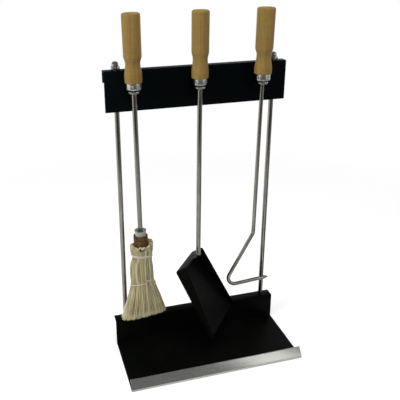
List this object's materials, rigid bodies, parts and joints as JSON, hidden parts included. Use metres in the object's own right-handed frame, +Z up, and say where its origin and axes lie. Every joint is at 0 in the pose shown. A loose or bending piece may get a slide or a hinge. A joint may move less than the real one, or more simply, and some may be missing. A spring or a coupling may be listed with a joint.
{
  "type": "fireplace tool set",
  "caption": "Folded black steel stand with a cross bar on two steel rods, on which a hand broom, an ash shovel and a hooked poker hang by collars under turned wooden handles.",
  "frame": {"origin": "middle of the base's underside, on the ground", "axes": "+Z up; -Y towards the open front of the stand; +X to the right, seen from the front"},
  "size_m": [0.3, 0.1565, 0.5801],
  "materials": {
    "black_paint": "satin black powder coat on folded steel sheet",
    "stainless_trim": "stainless strip brushed along its length",
    "polished_steel": "bright drawn stainless bar",
    "chrome": "bright chrome plate",
    "zinc_steel": "grey plated steel",
    "beech": "light turned beech under clear lacquer",
    "dark_wood": "dark brown stained wood",
    "plant_fibre": "cream natural plant fibre",
    "binding_cord": "twisted off-white cord"
  },
  "bodies": {
    "stand": {"base_tray": "black_paint", "front_trim": "stainless_trim", "top_bar": "black_paint", "upright_left": "polished_steel", "upright_right": "polished_steel", "foot_washer_left": "zinc_steel", "foot_washer_right": "zinc_steel", "foot_screw_left": "zinc_steel", "foot_screw_right": "zinc_steel", "cap_nut_left": "polished_steel", "cap_nut_right": "polished_steel", "lock_nut_left": "zinc_steel", "lock_nut_right": "zinc_steel", "hook_left": "black_paint", "hook_middle": "black_paint", "hook_right": "black_paint"},
    "broom": {"broom_handle": "beech", "broom_ferrule": "chrome", "broom_hang_collar": "chrome", "broom_rod": "polished_steel", "broom_socket": "zinc_steel", "broom_stock": "dark_wood", "broom_bristles": "plant_fibre", "broom_neck_binding": "binding_cord", "broom_waist_binding": "binding_cord"},
    "shovel": {"shovel_handle": "beech", "shovel_ferrule": "chrome", "shovel_hang_collar": "chrome", "shovel_rod": "polished_steel", "shovel_pan": "black_paint"},
    "poker": {"poker_handle": "beech", "poker_ferrule": "chrome", "poker_hang_collar": "chrome", "poker_rod": "polished_steel"}
  },
  "joints": [
    {"name": "broom_lift", "type": "slide", "parent": "stand", "child": "broom", "axis": [0, 0, 1], "range_m": [0, 0.04]},
    {"name": "shovel_lift", "type": "slide", "parent": "stand", "child": "shovel", "axis": [0, 0, 1], "range_m": [0, 0.04]},
    {"name": "poker_lift", "type": "slide", "parent": "stand", "child": "poker", "axis": [0, 0, 1], "range_m": [0, 0.04]}
  ]
}
